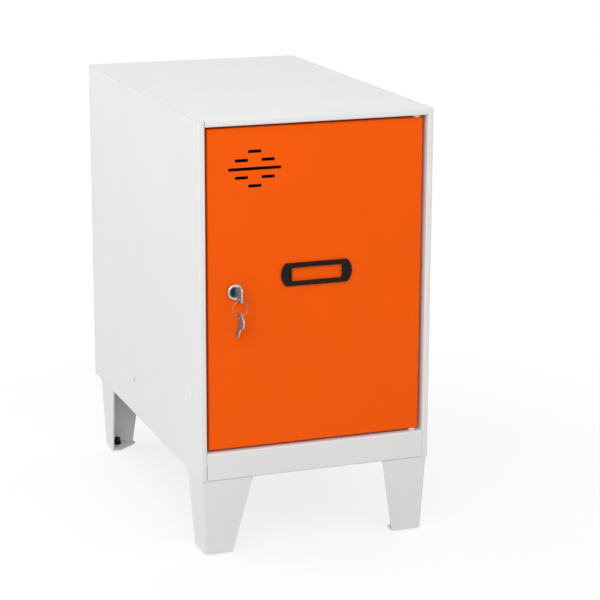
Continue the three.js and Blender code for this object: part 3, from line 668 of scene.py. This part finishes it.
def setHingePins():
    low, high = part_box("hinge_pin_lower")
    form = hingePinMesh(high.z - low.z - pinShape["headHeight"])
    lower = moved(form, (hingeAxis.x, hingeAxis.y, low.z + pinShape["headHeight"]))
    settle("hinge_pin_lower_turned", lower, "cabinet", "zinc_steel", "hinge_pin_lower")
    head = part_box("hinge_pin_upper")[1].z - pinShape["headHeight"]
    upper = moved(form, (hingeAxis.x, hingeAxis.y, head), upsideDown)
    settle("hinge_pin_upper_turned", upper, "cabinet", "zinc_steel", "hinge_pin_upper")


hingeAxis = middleOf("hinge_pin_lower")
upsideDown = Matrix.Rotation(math.pi, 4, "X")
setHingePins()

bufferShape = {
    "radius": 3.0 * mm,
    "height": 3.6 * mm,
    "stem": 1.5 * mm,
    "grip": 1.0 * mm,
    "barb": 2.2 * mm,
    "barbMiddle": 1.2 * mm,
    "barbHeight": 2.0 * mm,
    "ease": 0.5 * mm,
}


def bufferMesh():
    b = bufferShape
    front = -b["height"] - seam
    back = b["grip"] + seam
    return turnedMesh("door_buffer", softCorners([
        (0.0, front),
        (b["radius"] * 0.75, front),
        (b["radius"], -b["height"] * 0.55),
        (b["radius"], -seam),
        (b["stem"], -seam),
        (b["stem"], back),
        (b["barb"], back),
        (b["barb"] * 0.9, back + b["barbMiddle"]),
        (b["barb"] * 0.4, back + b["barbHeight"]),
        (0.0, back + b["barbHeight"]),
    ], b["ease"], 4), 40)


bufferForm = bufferMesh()
for i in (1, 2):
    node = f"door_buffer_{i}"
    centre = middleOf(node)
    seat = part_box(node)[0].y + bufferShape["height"] + seam
    bump = moved(bufferForm, (centre.x, seat, centre.z))
    settle(node + "_bump", bump, "cabinet", "black_rubber", node)
print("pins and buffers set")

dressedSheet("door_panel", "door", "door_paint", sheetShape["doorEdge"])
dressedSheet("door_stiffener", "door", "door_paint")

bushShape = {
    "bore": 2.1 * mm,
    "sleeve": 4.0 * mm,
    "flange": 4.8 * mm,
    "flangeHeight": 2.5 * mm,
    "reach": 9.0 * mm,
    "taper": 1.0 * mm,
    "ease": 0.3 * mm,
}


def bushMesh():
    b = bushShape
    face = -seam - b["flangeHeight"]
    return turnedMesh("hinge_bush", softCorners([
        (b["bore"], b["reach"]),
        (b["bore"], face),
        (b["flange"], face),
        (b["flange"], -seam),
        (b["sleeve"], -seam),
        (b["sleeve"], b["reach"] - b["taper"]),
        (b["sleeve"] * 0.9, b["reach"]),
    ], b["ease"], 3), 48, upright=True)


bushForm = bushMesh()
doorLow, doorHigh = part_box("door_panel")
for place, end, turn in (("lower", doorLow.z, None), ("upper", doorHigh.z, upsideDown)):
    node = "hinge_bush_" + place
    bush = moved(bushForm, (hingeAxis.x, hingeAxis.y, end), turn)
    settle(node + "_nylon", bush, "door", "white_nylon", node)

labelShape = {
    "width": 91.5 * mm,
    "height": 28.5 * mm,
    "bulge": 6.0 * mm,
    "corner": 4.5 * mm,
    "thickness": 2.5 * mm,
    "edge": 1.5 * mm,
    "windowWidth": 65.5 * mm,
    "windowHeight": 17.0 * mm,
    "windowCorner": 2.0 * mm,
    "beadWidth": 2.2 * mm,
    "beadHeight": 0.7 * mm,
    "beadFoot": 1.0 * mm,
    "beadEdge": 0.55 * mm,
    "pegAt": 39.0 * mm,
    "pegRadius": 2.0 * mm,
    "pegTail": 2.6 * mm,
    "pegReach": 3.1 * mm,
    "pegEase": 0.2 * mm,
    "sheet": 1.0 * mm,
}


def labelOutline():
    # straight above and below, bulging at the ends, with round corners between
    s = labelShape
    rise = s["height"] / 2
    corner = s["corner"]
    radius = (rise ** 2 + s["bulge"] ** 2) / (2 * s["bulge"])
    centre = s["width"] / 2 - radius
    turn = math.asin((rise - corner) / (radius - corner))
    cornerAt = centre + (radius - corner) * math.cos(turn)
    turn = math.degrees(turn)
    end = arc(cornerAt, corner - rise, corner, -90, -turn, 8)
    end += arc(centre, 0, radius, -turn, turn, 24)[1:-1]
    end += arc(cornerAt, rise - corner, corner, turn, 90, 8)
    return end + [(-x, -y) for x, y in end]


def labelPegMesh():
    s = labelShape
    through = s["sheet"] + seam
    return turnedMesh("peg", softCorners([
        (0.0, -s["sheet"]),
        (s["pegRadius"], -s["sheet"]),
        (s["pegRadius"], through),
        (s["pegTail"], through),
        (s["pegRadius"], s["pegReach"]),
        (0.0, s["pegReach"]),
    ], s["pegEase"], 2), 32)


def setLabelFrame():
    s = labelShape
    middle = middleOf("label_frame")
    centre = Vector((middle.x, doorFace, middle.z))
    window = roundedBox(s["windowWidth"], s["windowHeight"], s["windowCorner"])
    face = -s["thickness"] - seam
    base = moved(plateMesh("label_base", [labelOutline(), window], face, -seam), centre)
    plate = settle("label_frame_plate", base, "door", "black_plastic", "label_frame")
    rounded(plate, s["edge"], segments=4, angle=60)
    rim = roundedBox(s["windowWidth"] + 2 * s["beadWidth"], s["windowHeight"] + 2 * s["beadWidth"],
                     s["windowCorner"] + s["beadWidth"])
    ridge = plateMesh("label_bead", [rim, window], face - s["beadHeight"], -s["beadFoot"])
    bead = settle("label_frame_bead", moved(ridge, centre), "door", "black_plastic")
    rounded(bead, s["beadEdge"], segments=3, angle=60)
    peg = labelPegMesh()
    pegs = [moved(peg, centre + Vector((x, 0, 0))) for x in (-s["pegAt"], s["pegAt"])]
    settle("label_frame_pegs", joinedMesh("pegs", pegs), "door", "black_plastic")


setLabelFrame()
print("door dressed")

lockAxis = middleOf("lock_housing")
lockAt = Vector((lockAxis.x, doorFace, lockAxis.z))
lockShape = {
    "bezelRadius": 10.0 * mm,
    "bezelHeight": 3.7 * mm,
    "bezelRound": 1.8 * mm,
    "barrelRadius": 8.0 * mm,
    "barrelLength": 22.2 * mm,
    "threadPitch": 1.1 * mm,
    "threadDepth": 0.35 * mm,
    "threadFrom": 1.5 * mm,
    "threadEnd": 0.6 * mm,       # plain stretch at the barrel's end
    "bore": 6.12 * mm,
    "lipWidth": 0.75 * mm,
    "lipDepth": 1.0 * mm,
    "lipShares": ((1, 0), (7 / 15, 0.12), (1 / 15, 0.6), (0, 1)),    # of its width and depth
    "plugRadius": 6.0 * mm,
    "plugFront": -2.7 * mm,
    "plugEnd": 22.4 * mm,
    "plugEdge": 0.18 * mm,
    "tang": 7.0 * mm,
    "tangEnd": 24.4 * mm,
    "tangRoot": 1.0 * mm,
    "tangCorner": 0.6 * mm,
    "tangBore": 2.0 * mm,
    "slotWidth": 2.4 * mm,
    "slotHeight": 7.6 * mm,
    "slotDepth": 13.4 * mm,
    "slotCorner": 0.5 * mm,
}


def housingMesh():
    s = lockShape
    face = -s["bezelHeight"] - seam
    root = s["barrelRadius"] - s["threadDepth"]
    thread = []
    y = s["barrelLength"] - s["threadEnd"]
    while y > s["threadFrom"]:
        thread += [(root, y), (s["barrelRadius"], y - s["threadPitch"] / 2)]
        y -= s["threadPitch"]
    rim = []
    for degrees in range(0, 91, 9):
        angle = math.radians(degrees)
        rim.append((s["bezelRadius"] - s["bezelRound"] * (1 - math.cos(angle)),
                    face + s["bezelRound"] * (1 - math.sin(angle))))
    lip = [(s["bore"] + s["lipWidth"] * across, face + s["lipDepth"] * deep)
           for across, deep in s["lipShares"]]
    profile = [(s["bore"], s["barrelLength"]), (root, s["barrelLength"])]
    profile += thread + [(s["barrelRadius"], -seam), (s["bezelRadius"] * 0.99, -seam)] + rim + lip
    return turnedMesh("lock_housing", profile, 96)


def lockPlugMesh():
    s = lockShape
    slot = roundedBox(s["slotWidth"], s["slotHeight"], s["slotCorner"], 3)
    front = plateMesh("plug_front", [ringOf(s["plugRadius"], 72), slot],
                      s["plugFront"], s["slotDepth"])
    rear = turnedMesh("plug_rear", [
        (0.0, s["slotDepth"]),
        (s["plugRadius"], s["slotDepth"]),
        (s["plugRadius"], s["plugEnd"]),
        (0.0, s["plugEnd"]),
    ], 72)
    square = roundedBox(s["tang"], s["tang"], s["tangCorner"], 3)
    tang = plateMesh("plug_tang", [square, ringOf(s["tangBore"], 24)],
                     s["plugEnd"] - s["tangRoot"], s["tangEnd"])
    return joinedMesh("lock_plug", [front, rear, tang])


settle("lock_housing_turned", moved(housingMesh(), lockAt), "door", "chrome", "lock_housing")
# the plug's finish carries painted shade and dark reflection in its base colour
plug = settle("lock_plug_turned", moved(lockPlugMesh(), lockAt), "lock_cylinder", "chrome",
              "lock_plug", finish="nickel_with_painted_shade")
rounded(plug, lockShape["plugEdge"])

nutShape = {
    "across": 20.0 * mm,
    "low": 1.1 * mm,
    "high": 6.1 * mm,
    "bore": 8.1 * mm,
    "edge": 0.5 * mm,
}


def nutMesh():
    n = nutShape
    hexagon = ringOf(n["across"] / math.sqrt(3), 6)
    mesh = plateMesh("lock_nut", [hexagon, ringOf(n["bore"])], n["low"], n["high"])
    mesh.transform(Matrix.Rotation(quarterTurn, 4, "Y"))
    return mesh


nut = settle("lock_nut_hexagon", moved(nutMesh(), lockAt), "door", "zinc_steel", "lock_nut")
rounded(nut, nutShape["edge"], segments=3, angle=35)

camShape = {
    "width": 16.0 * mm,
    "reach": 33.0 * mm,
    "corner": 4.0 * mm,
    "front": 22.5 * mm,
    "back": 24.5 * mm,
    "hole": 7.2 * mm,
    "holeCorner": 0.5 * mm,
    "edge": 0.25 * mm,
}


def camMesh():
    c = camShape
    half, corner = c["width"] / 2, c["corner"]
    x, y = half - corner, corner - c["reach"]
    outline = arc(0, 0, half, 0, 180, 20)
    outline += arc(-x, y, corner, 180, 270, 8) + arc(x, y, corner, 270, 360, 8)
    hole = roundedBox(c["hole"], c["hole"], c["holeCorner"], 3)
    return plateMesh("lock_cam", [outline, hole], c["front"], c["back"])


cam = settle("lock_cam_arm", moved(camMesh(), lockAt), "lock_cylinder", "zinc_steel", "lock_cam")
rounded(cam, camShape["edge"])

camScrewShape = {
    **screwShape,
    "headRadius": 4.6 * mm,
    "headHeight": 2.2 * mm,
    "crossLength": 4.2 * mm,
    "crossDepth": 1.3 * mm,
    "shankRadius": 1.9 * mm,
    "length": 8.0 * mm,
}
camScrewForm = screwMesh(camScrewShape)
camScrewForm.transform(Matrix.Rotation(quarterTurn, 4, "X"))
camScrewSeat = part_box("cam_screw")[1].y - camScrewShape["headHeight"]
settle("cam_screw_cross", moved(camScrewForm, (lockAt.x, camScrewSeat, lockAt.z)),
       "lock_cylinder", "zinc_steel", "cam_screw")
print("lock set")

keyShape = {
    "thickness": 2.0 * mm,
    "edge": 0.16 * mm,
    "bowWidth": 15.0 * mm,
    "bowHeight": 20.0 * mm,
    "bowCorner": 5.5 * mm,
    "bowFront": -27.3 * mm,
    "hole": 2.6 * mm,
    "holeFromEnd": 7.0 * mm,
    "holeBelow": 5.0 * mm,
    "flareLength": 3.0 * mm,      # from the bow to the neck
    "flareStep": 1.4 * mm,
    "flareRise": 0.5 * mm,
    "neckHeight": 8.0 * mm,
    "shoulder": -3.1 * mm,
    "bladeHeight": 7.0 * mm,
    "tip": 10.7 * mm,
    "noseAbove": 0.7 * mm,        # the blunt point of the tip
    "noseAboveBack": 0.3 * mm,
    "noseBelow": 1.2 * mm,
    "noseBelowBack": 0.6 * mm,
    "grooveWidth": 1.3 * mm,
    "grooveDepth": 0.55 * mm,
    "grooveOff": 0.9 * mm,        # from the blade's middle
    "grooveFromBow": 4.5 * mm,
    "panelInset": 2.2 * mm,
    "panelShare": 0.42,           # of the bow's height
    "panelCorner": 2.4 * mm,
    "panelDepth": 0.3 * mm,
    "firstCut": 2.14 * mm,
    "cutPitch": 1.61 * mm,
    "cutFlat": 0.64 * mm,
    "deepestCut": 1.6 * mm,
    "cutShares": (0.5, 1.0, 0.35, 0.8, 0.55),
}


def keyOutline():
    # drawn along Y about the axis of the plug, the tip towards the inside
    k = keyShape
    front, back = k["bowFront"], k["bowFront"] + k["bowWidth"]
    half, corner = k["bowHeight"] / 2, k["bowCorner"]
    neck, blade = k["neckHeight"] / 2, k["bladeHeight"] / 2
    shoulder, tip, flat = k["shoulder"], k["tip"], k["cutFlat"]
    flareEnd, flareStep = back + k["flareLength"], back + k["flareStep"]
    flareTop = neck + k["flareRise"]
    upper = arc(front + corner, half - corner, corner, 180, 90, 10)
    upper += arc(back - corner, half - corner, corner, 90, 20, 8)
    upper += [(flareStep, flareTop), (flareEnd, neck), (shoulder, neck), (shoulder, blade)]
    for i, share in enumerate(k["cutShares"]):
        start = shoulder + k["firstCut"] + i * k["cutPitch"]
        bottom = blade - share * k["deepestCut"]
        upper += [(start, blade), (start + flat * 0.5, bottom), (start + flat, bottom),
                  (start + flat * 1.5, blade)]
    nose = [
        (tip - blade, blade),
        (tip - k["noseAboveBack"], k["noseAbove"]),
        (tip, 0.0),
        (tip - k["noseBelowBack"], -k["noseBelow"]),
        (tip - blade, -blade),
    ]
    lower = [(shoulder, -blade), (shoulder, -neck), (flareEnd, -neck), (flareStep, -flareTop)]
    lower += arc(back - corner, corner - half, corner, -20, -90, 8)
    lower += arc(front + corner, corner - half, corner, 270, 180, 10)
    return upper + nose + lower


def keyCutters():
    # on both sides a groove along the blade and a sunk panel in the bow
    k = keyShape
    start = k["bowFront"] + k["bowWidth"] + k["grooveFromBow"]
    end = k["tip"] + 2 * overrun
    panel = roundedBox(k["bowWidth"] - 2 * k["panelInset"], k["bowHeight"] * k["panelShare"],
                       k["panelCorner"], 6, k["bowFront"] + k["bowWidth"] / 2,
                       k["bowHeight"] / 2 * k["panelShare"])
    cutters = []
    for hand in (-1, 1):
        face = hand * k["thickness"] / 2
        low = hand * k["grooveOff"] - k["grooveWidth"] / 2
        high = low + k["grooveWidth"]
        groove = [(start, low), (end, low), (end, high), (start, high)]
        for outline, depth in ((groove, k["grooveDepth"]), (panel, k["panelDepth"])):
            inner, outer = sorted((face - hand * depth, face + hand * overrun))
            cutters.append(plateMesh("cutter", [outline], inner, outer, "YZ"))
    return cutters


def keyMesh():
    k = keyShape
    hole = ringOf(k["hole"], 40, k["bowFront"] + k["holeFromEnd"], -k["holeBelow"])
    half = k["thickness"] / 2
    return carved(plateMesh("key_plate", [keyOutline(), hole], -half, half, "YZ"), keyCutters())


keyForm = keyMesh()
lockKey = settle("lock_key_cut", moved(keyForm, lockAt), "lock_cylinder", "zinc_steel",
                 "lock_key", finish="key_nickel")
rounded(lockKey, keyShape["edge"])

ringShape = {
    "radius": 9.6 * mm,
    "wireAcross": 0.42 * mm,    # half the wire's width outward
    "wireAlong": 0.26 * mm,     # half of each turn's thickness
    "lay": 0.28 * mm,
    "sweep": 662,               # degrees of wire, a little under two turns
    "start": 200,
    "crossing": 46,
    "roundness": 0.7,           # 1 is an oval wire, less is a squarer one
}


def towardsSquare(value):
    return math.copysign(abs(value) ** ringShape["roundness"], value)


def ringMesh(count=220, sides=12):
    r = ringShape
    work = bmesh.new()
    loops = []
    for i in range(count + 1):
        swept = r["sweep"] * i / count
        share = (swept - r["sweep"] / 2 + r["crossing"] / 2) / r["crossing"]
        share = min(1.0, max(0.0, share))
        offset = r["lay"] * (2 * (share * share * (3 - 2 * share)) - 1)
        angle = math.radians(r["start"] + swept)
        out = Vector((math.cos(angle), 0, math.sin(angle)))
        centre = out * r["radius"] + Vector((0, offset, 0))
        loop = []
        for j in range(sides):
            a = 2 * math.pi * j / sides
            across = out * r["wireAcross"] * towardsSquare(math.cos(a))
            along = Vector((0, r["wireAlong"] * towardsSquare(math.sin(a)), 0))
            loop.append(work.verts.new(centre + across + along))
        loops.append(loop)
    for before, after in zip(loops, loops[1:]):
        for j in range(sides):
            k = (j + 1) % sides
            work.faces.new((before[j], before[k], after[k], after[j]))
    work.faces.new(loops[0][::-1])
    work.faces.new(loops[-1])
    bmesh.ops.recalc_face_normals(work, faces=work.faces)
    return finishedMesh(work, "key_ring")


ringAt = middleOf("key_ring")
# the ring's finish carries a painted reflection of the door in its base colour
settle("key_ring_coil", moved(ringMesh(), ringAt), "ring", "chrome", "key_ring",
       finish="ring_wire_painted_reflection")

spareShape = {
    "tilt": 34,          # degrees from the plumb line
    "drop": 1.5 * mm,    # from the ring to the middle of the key's hole
}
holeCentre = Vector((0, keyShape["bowFront"] + keyShape["holeFromEnd"], -keyShape["holeBelow"]))
spareTurn = (Matrix.Rotation(math.pi, 4, "Z")
             @ Matrix.Rotation(math.radians(270 - spareShape["tilt"]), 4, "X")
             @ Matrix.Translation(-holeCentre))
spareAt = ringAt + Vector((0, 0, -ringShape["radius"] - spareShape["drop"]))
spareKey = settle("spare_key_cut", moved(keyForm, spareAt, spareTurn), "spare", "zinc_steel",
                  "spare_key", finish="key_nickel")
rounded(spareKey, keyShape["edge"])
print("keys and ring set")

studio = {
    "floorTone": (0.97, 0.97, 0.97),      # as the camera sees it
    "floorBounce": (0.58, 0.58, 0.58),    # as it lights the object
    "floorRadius": 1.4,
    "floorDrop": 0.2 * mm,
    "cloudScale": 3.0,                    # drift of the floor's tone, per metre
    "cloudSpread": 0.005,
    "glowNear": 0.75,                     # share of plain white close to the object
    "glowFrom": 0.40,                     # metres from the middle
    "glowTo": 0.85,
    "worldLevel": 0.70,
}


def seenAsBackdrop(nodes, links):
    # 1 where the camera sees it, also in metal and through glass
    paths = nodes.new("ShaderNodeLightPath")
    seen = paths.outputs["Is Camera Ray"]
    for way in ("Is Glossy Ray", "Is Transmission Ray"):
        either = nodes.new("ShaderNodeMath")
        either.operation = "MAXIMUM"
        links.new(seen, either.inputs[0])
        links.new(paths.outputs[way], either.inputs[1])
        seen = either.outputs["Value"]
    return seen


def mixShaders(nodes, links, factor, first, second):
    mix = nodes.new("ShaderNodeMixShader")
    links.new(factor, mix.inputs["Fac"])
    links.new(first, mix.inputs[1])
    links.new(second, mix.inputs[2])
    return mix.outputs["Shader"]


def floorFinish():
    # turns plain white away from the object, keeps a pale shadow under it
    finish, nodes, links, shader = newFinish("floor")
    vector = placeCoords(nodes, links)
    cloud = noiseAt(nodes, links, vector, studio["cloudScale"])
    tone = studio["floorTone"]
    rampTo(nodes, links, cloud, shader.inputs["Base Color"],
           [shade(tone, 1 - studio["cloudSpread"]), tone])
    shader.inputs["Roughness"].default_value = 0.9
    shader.inputs["Specular IOR Level"].default_value = 0.1
    away = nodes.new("ShaderNodeVectorMath")
    away.operation = "LENGTH"
    links.new(vector, away.inputs[0])
    glow = nodes.new("ShaderNodeMapRange")
    glow.interpolation_type = "SMOOTHSTEP"
    glow.inputs["From Min"].default_value = studio["glowFrom"]
    glow.inputs["From Max"].default_value = studio["glowTo"]
    glow.inputs["To Min"].default_value = studio["glowNear"]
    links.new(away.outputs["Value"], glow.inputs["Value"])
    plain = nodes.new("ShaderNodeEmission").outputs["Emission"]
    bounce = nodes.new("ShaderNodeBsdfDiffuse")
    bounce.inputs["Color"].default_value = (*studio["floorBounce"], 1.0)
    shown = mixShaders(nodes, links, glow.outputs["Result"], shader.outputs["BSDF"], plain)
    seen = seenAsBackdrop(nodes, links)
    whole = mixShaders(nodes, links, seen, bounce.outputs["BSDF"], shown)
    output = next(n for n in nodes if n.type == "OUTPUT_MATERIAL")
    links.new(whole, output.inputs["Surface"])
    return finish


def layFloor():
    mesh = bpy.data.meshes.new("floor")
    rim = [(x, y, 0) for x, y in ringOf(studio["floorRadius"], 180)]
    mesh.from_pydata(rim, [], [tuple(range(len(rim)))])
    floor = bpy.data.objects.new("floor", mesh)
    floor.location.z = -studio["floorDrop"]
    bpy.context.scene.collection.objects.link(floor)
    floor.data.materials.append(floorFinish())


def studioWorld():
    world = bpy.data.worlds.new("studio")
    bpy.context.scene.world = world
    world.use_nodes = True
    nodes, links = world.node_tree.nodes, world.node_tree.links
    nodes.clear()
    levels = []
    for level in (studio["worldLevel"], 1.0):
        background = nodes.new("ShaderNodeBackground")
        background.inputs["Color"].default_value = (1.0, 1.0, 1.0, 1.0)
        background.inputs["Strength"].default_value = level
        levels.append(background.outputs["Background"])
    output = nodes.new("ShaderNodeOutputWorld")
    whole = mixShaders(nodes, links, seenAsBackdrop(nodes, links), *levels)
    links.new(whole, output.inputs["Surface"])


layFloor()
studioWorld()

lampAim = Vector((0, 0, 0.3))
lamps = {    # places and sizes in metres, power in watts
    "side_box": {"place": (-2.2, 0.9, 1.3), "power": 14.5, "size": 1.5},
    "front_box": {"place": (-1.1, -1.9, 1.75), "power": 29.0, "size": 2.1},
    "rear_box": {"place": (2.3, 1.3, 0.8), "power": 15.0, "size": 1.6},
}
for name, setting in lamps.items():
    lamp = bpy.data.objects.new(name, bpy.data.lights.new(name, "AREA"))
    lamp.data.energy = setting["power"]
    lamp.data.size = setting["size"]
    lamp.location = setting["place"]
    lamp.rotation_mode = "QUATERNION"
    lamp.rotation_quaternion = (lampAim - lamp.location).to_track_quat("-Z", "Y")
    bpy.context.scene.collection.objects.link(lamp)

camera = {
    "place": (-0.87719, -2.54443, 0.94813),
    "heading": 20.31,    # degrees to the right of straight at the door
    "dip": 14.379,       # degrees below level
    "roll": 0.21,
    "lens": 125.737,
    "sensor": 36,
    "farthest": 60,      # metres
}


def setCamera():
    eye = bpy.data.objects.new("camera", bpy.data.cameras.new("camera"))
    eye.data.sensor_width = camera["sensor"]
    eye.data.lens = camera["lens"]
    eye.data.clip_end = camera["farthest"]
    eye.matrix_world = (
        Matrix.Translation(camera["place"])
        @ Matrix.Rotation(math.radians(-camera["heading"]), 4, "Z")
        @ Matrix.Rotation(math.radians(90 - camera["dip"]), 4, "X")
        @ Matrix.Rotation(math.radians(camera["roll"]), 4, "Z"))
    bpy.context.scene.collection.objects.link(eye)
    bpy.context.scene.camera = eye


setCamera()
bpy.context.scene.view_settings.view_transform = "Standard"
print("stage set")
